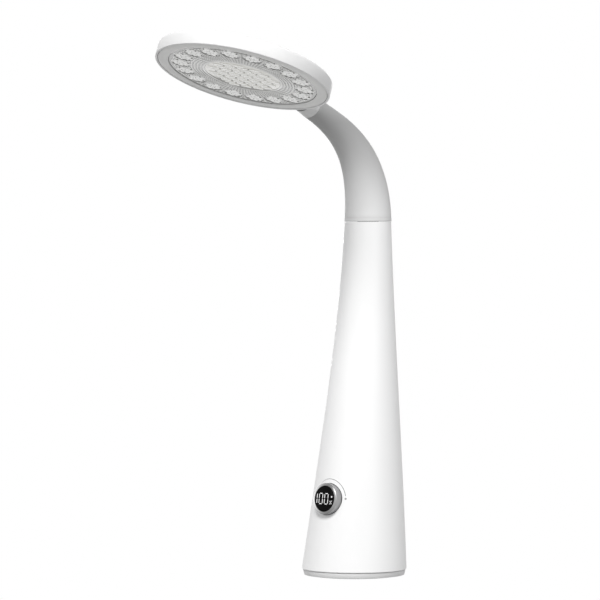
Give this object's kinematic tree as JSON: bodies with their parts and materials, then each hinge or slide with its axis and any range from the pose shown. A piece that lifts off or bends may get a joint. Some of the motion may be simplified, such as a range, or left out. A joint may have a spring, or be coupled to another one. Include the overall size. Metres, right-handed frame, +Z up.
{
  "type": "rechargeable desk lamp",
  "caption": "Rechargeable desk lamp: leaning cone base with a turn-and-press display knob, bending silicone-covered neck and flat disc head with a moulded lens.",
  "frame": {"origin": "middle of the foot pad's underside, on the table", "axes": "+Z up, the knob and the head towards -Y, +X to the right of someone who looks at the knob"},
  "size_m": [0.138, 0.2381, 0.4265],
  "materials": {
    "white_plastic": "matte",
    "pale_plastic": "matte",
    "clear_lens": "moulded relief",
    "grey_silicone": "matte",
    "dark_rubber": "matte",
    "white_lead": "matte",
    "turned_metal": "turned",
    "steel": "satin",
    "bright_screw": "plated",
    "black_gloss": "gloss",
    "dark_plastic": "matte",
    "green_board": "satin",
    "white_board": "satin",
    "cell_wrap": "satin"
  },
  "bodies": {
    "base": {"body_shell": "white_plastic", "base_cover": "pale_plastic", "foot_pad": "dark_rubber", "closing_screw_1": "bright_screw", "closing_screw_2": "bright_screw", "closing_screw_3": "bright_screw", "closing_screw_4": "bright_screw", "ballast_plate": "steel", "inner_frame": "dark_plastic", "frame_screw_1": "bright_screw", "frame_screw_2": "bright_screw", "battery_cell_1": "cell_wrap", "battery_cell_2": "cell_wrap", "battery_strap": "dark_plastic", "main_board": "green_board", "board_screw_1": "bright_screw", "board_screw_2": "bright_screw", "charge_board": "green_board", "usb_c_socket": "bright_screw", "ring_encoder": "dark_plastic", "press_switch": "dark_plastic", "control_board": "green_board", "control_screw_1": "bright_screw", "control_screw_2": "bright_screw", "wave_spring": "steel", "neck_anchor": "dark_plastic", "anchor_nut": "bright_screw", "gooseneck_root": "steel", "base_lead": "white_lead"},
    "press_knob": {"knob_core": "dark_plastic", "display_lens": "black_gloss", "display_module": "white_board", "retaining_clip": "steel"},
    "turn_ring": {"knob_ring": "turned_metal"},
    "neck_1": {"gooseneck_link_1": "steel"},
    "neck_2": {"gooseneck_link_2": "steel", "neck_sleeve": "grey_silicone", "neck_lead": "white_lead"},
    "neck_3": {"gooseneck_link_3": "steel"},
    "neck_4": {"gooseneck_link_4": "steel"},
    "head": {"neck_tip": "steel", "tip_screw_1": "bright_screw", "tip_screw_2": "bright_screw", "head_collar": "white_plastic", "head_shell": "white_plastic", "lens_disc": "clear_lens", "head_bezel": "clear_lens", "light_board": "white_board", "reflector_sheet": "white_board", "light_screw_1": "bright_screw", "light_screw_2": "bright_screw", "light_screw_3": "bright_screw", "lead_connector": "white_board", "head_lead": "white_lead"}
  },
  "joints": [
    {"name": "knob_press", "type": "slide", "parent": "base", "child": "press_knob", "axis": [0, 0.9903, -0.1392], "range_m": [0, 0.0006], "stiffness_N_per_m": 2500, "springref_m": -0.0002, "deforming": ["wave_spring"]},
    {"name": "knob_turn", "type": "hinge", "parent": "press_knob", "child": "turn_ring", "pos_m": [0, -0.0362, 0.06284], "axis": [0, -0.9903, 0.1392], "continuous": true},
    {"name": "neck_bend_1", "type": "hinge", "parent": "base", "child": "neck_1", "pos_m": [0, 0.01387, 0.31018], "axis": [1, 0, 0], "range_deg": [-22, 22], "deforming": ["neck_sleeve", "neck_lead"]},
    {"name": "neck_swing_1", "type": "hinge", "parent": "neck_1", "child": "neck_2", "pos_m": [0, 0.00675, 0.32827], "axis": [0, 0.8724, 0.4887], "range_deg": [-22, 22], "deforming": ["neck_sleeve", "neck_lead"]},
    {"name": "neck_bend_2", "type": "hinge", "parent": "neck_2", "child": "neck_3", "pos_m": [0, -0.00501, 0.34375], "axis": [1, 0, 0], "range_deg": [-22, 22], "deforming": ["neck_sleeve", "neck_lead"]},
    {"name": "neck_swing_2", "type": "hinge", "parent": "neck_3", "child": "neck_4", "pos_m": [0, -0.02021, 0.35591], "axis": [0, 0.5452, 0.8383], "range_deg": [-22, 22], "deforming": ["neck_sleeve", "neck_lead"]},
    {"name": "neck_bend_3", "type": "hinge", "parent": "neck_4", "child": "head", "pos_m": [0, -0.03722, 0.36541], "axis": [1, 0, 0], "range_deg": [-22, 22], "deforming": ["neck_sleeve", "neck_lead"]}
  ]
}
